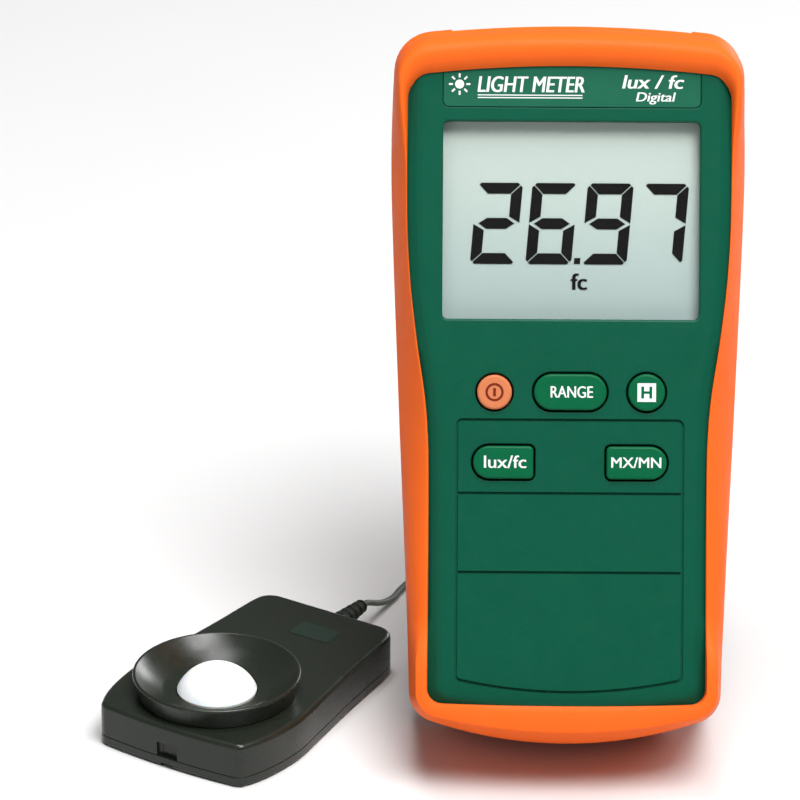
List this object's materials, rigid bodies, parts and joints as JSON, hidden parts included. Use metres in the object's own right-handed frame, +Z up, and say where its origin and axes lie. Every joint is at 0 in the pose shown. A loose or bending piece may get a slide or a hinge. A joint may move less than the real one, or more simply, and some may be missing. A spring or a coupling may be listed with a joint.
{
  "type": "light meter",
  "caption": "Hand-held light meter in a rubber holster with a large display and round keys, leaning on its tilt stand, with a domed sensor head on a thin cable.",
  "frame": {"origin": "middle of the footprint of the instrument and the sensor head, on the surface they stand on (cable left out)", "axes": "+Z up; the face of the instrument looks towards -Y and leans back by 25 degrees; +X is the viewer's right; the sensor head lies on the -X side"},
  "size_m": [0.1366, 0.124, 0.1476],
  "materials": {
    "holster_rubber": "soft matt orange",
    "case_green": "fine textured green",
    "nameplate_green": "smooth satin green",
    "clear_window": "clear, glossy",
    "display": "grey-green liquid crystal",
    "carrier_white": "plain",
    "zebra_rubber": "matt",
    "silicone": "matt translucent grey",
    "key_green": "satin",
    "key_orange": "satin",
    "board_green": "solder mask",
    "chip_black": "moulded",
    "cell_sleeve": "printed metal sleeve",
    "contact_nickel": "nickel plated",
    "screw_steel": "zinc plated",
    "brass": "turned",
    "stand_plastic": "fine textured black",
    "sensor_plastic": "satin black with a green cast",
    "label": "satin film",
    "diffuser_white": "opal, softly glowing",
    "filter_glass": "green tinted",
    "cable_grey": "satin grey sheath",
    "relief_black": "matt black"
  },
  "bodies": {
    "root": {"holster": "holster_rubber", "front_shell": "case_green", "rear_shell": "case_green", "nameplate": "nameplate_green", "display_window": "clear_window", "lcd_glass": "display", "lcd_frame": "carrier_white", "zebra_strip_upper": "zebra_rubber", "zebra_strip_lower": "zebra_rubber", "keypad_mat": "silicone", "main_board": "board_green", "processor_chip": "chip_black", "amplifier_chip": "chip_black", "clock_crystal": "screw_steel", "sensor_header": "carrier_white", "battery_cell_1": "cell_sleeve", "battery_spring_1": "contact_nickel", "battery_contact_1": "contact_nickel", "battery_cell_2": "cell_sleeve", "battery_spring_2": "contact_nickel", "battery_contact_2": "contact_nickel", "battery_cell_3": "cell_sleeve", "battery_spring_3": "contact_nickel", "battery_contact_3": "contact_nickel", "battery_cell_4": "cell_sleeve", "battery_spring_4": "contact_nickel", "battery_contact_4": "contact_nickel", "case_screw_1": "screw_steel", "case_screw_2": "screw_steel", "case_screw_3": "screw_steel", "case_screw_4": "screw_steel", "board_screw_1": "screw_steel", "board_screw_2": "screw_steel", "tripod_insert": "brass", "stand_pin": "screw_steel", "lead_gland": "cable_grey", "cord_run": "cable_grey", "cord_drop": "cable_grey", "cord_coil": "cable_grey", "cable_tie": "relief_black"},
    "power_key": {"power_key": "key_orange"},
    "range_key": {"range_key": "key_green"},
    "hold_key": {"hold_key": "key_green"},
    "unit_key": {"unit_key": "key_green"},
    "max_min_key": {"max_min_key": "key_green"},
    "tilt_stand": {"tilt_stand": "stand_plastic"},
    "battery_cover": {"battery_cover": "case_green", "cover_screw": "screw_steel"},
    "sensor_head": {"sensor_top_case": "sensor_plastic", "sensor_base_case": "sensor_plastic", "light_cup": "sensor_plastic", "diffuser_dome": "diffuser_white", "optical_filter": "filter_glass", "photodiode": "chip_black", "sensor_board": "board_green", "sensor_screw_1": "screw_steel", "sensor_screw_2": "screw_steel", "sensor_label": "label", "sensor_strain_relief": "relief_black"}
  },
  "joints": [
    {"name": "power_key_press", "type": "slide", "parent": "root", "child": "power_key", "axis": [0, 0.9063, -0.4226], "range_m": [0, 0.0008], "stiffness_N_per_m": 300},
    {"name": "range_key_press", "type": "slide", "parent": "root", "child": "range_key", "axis": [0, 0.9063, -0.4226], "range_m": [0, 0.0008], "stiffness_N_per_m": 300},
    {"name": "hold_key_press", "type": "slide", "parent": "root", "child": "hold_key", "axis": [0, 0.9063, -0.4226], "range_m": [0, 0.0008], "stiffness_N_per_m": 300},
    {"name": "unit_key_press", "type": "slide", "parent": "root", "child": "unit_key", "axis": [0, 0.9063, -0.4226], "range_m": [0, 0.0008], "stiffness_N_per_m": 300},
    {"name": "max_min_key_press", "type": "slide", "parent": "root", "child": "max_min_key", "axis": [0, 0.9063, -0.4226], "range_m": [0, 0.0008], "stiffness_N_per_m": 300},
    {"name": "stand_hinge", "type": "hinge", "parent": "root", "child": "tilt_stand", "pos_m": [0.0313, 0.01233, 0.06244], "axis": [1, 0, 0], "range_deg": [-40, 0]},
    {"name": "battery_cover_lift", "type": "slide", "parent": "root", "child": "battery_cover", "axis": [0, 0.9063, -0.4226], "range_m": [0, 0.012]},
    {"name": "sensor_head_lift", "type": "slide", "parent": "root", "child": "sensor_head", "axis": [0, 0, 1], "range_m": [0, 0.04]}
  ]
}
